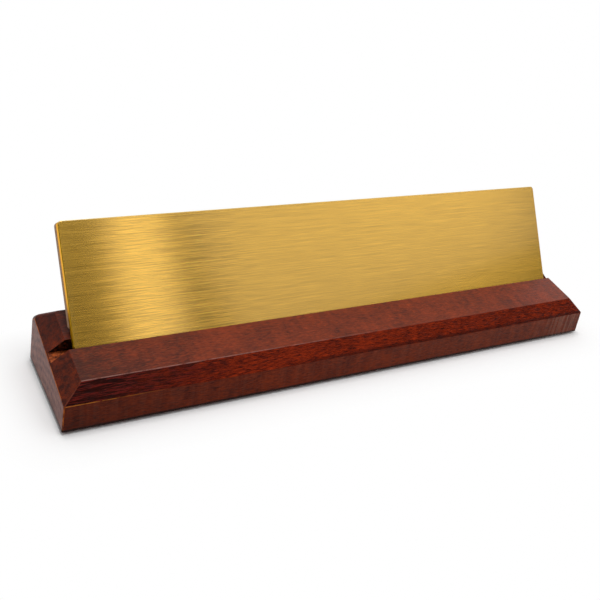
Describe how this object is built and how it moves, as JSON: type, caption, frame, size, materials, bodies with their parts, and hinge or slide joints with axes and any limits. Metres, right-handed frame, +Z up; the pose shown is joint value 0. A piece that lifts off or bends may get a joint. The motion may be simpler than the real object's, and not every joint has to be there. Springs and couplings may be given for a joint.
{
  "type": "desk name plate",
  "caption": "Desk name plate: a bevelled wedge-topped hardwood block with a slot along it, and a brushed brass plate that leans back in the slot and lifts out.",
  "frame": {"origin": "on the desk, below the middle of the wooden base", "axes": "+X along the base to the reader's right, -Y towards the reader, +Z up"},
  "size_m": [0.254, 0.0508, 0.0604],
  "materials": {
    "stained_wood": "dark reddish-brown stain, satin lacquer",
    "brushed_brass": "brushed along its length",
    "adhesive": "translucent film",
    "hardboard": "pressed fibre, brown",
    "pad_rubber": "matt black"
  },
  "bodies": {
    "base": {"wooden_base": "stained_wood", "foot_pad_front_left": "pad_rubber", "foot_pad_front_right": "pad_rubber", "foot_pad_rear_left": "pad_rubber", "foot_pad_rear_right": "pad_rubber"},
    "plate": {"backing_board": "hardboard", "adhesive_film": "adhesive", "brass_sheet": "brushed_brass"}
  },
  "joints": [
    {"name": "plate_lift", "type": "slide", "parent": "base", "child": "plate", "axis": [0, 0.5299, 0.848], "range_m": [0, 0.012]}
  ]
}
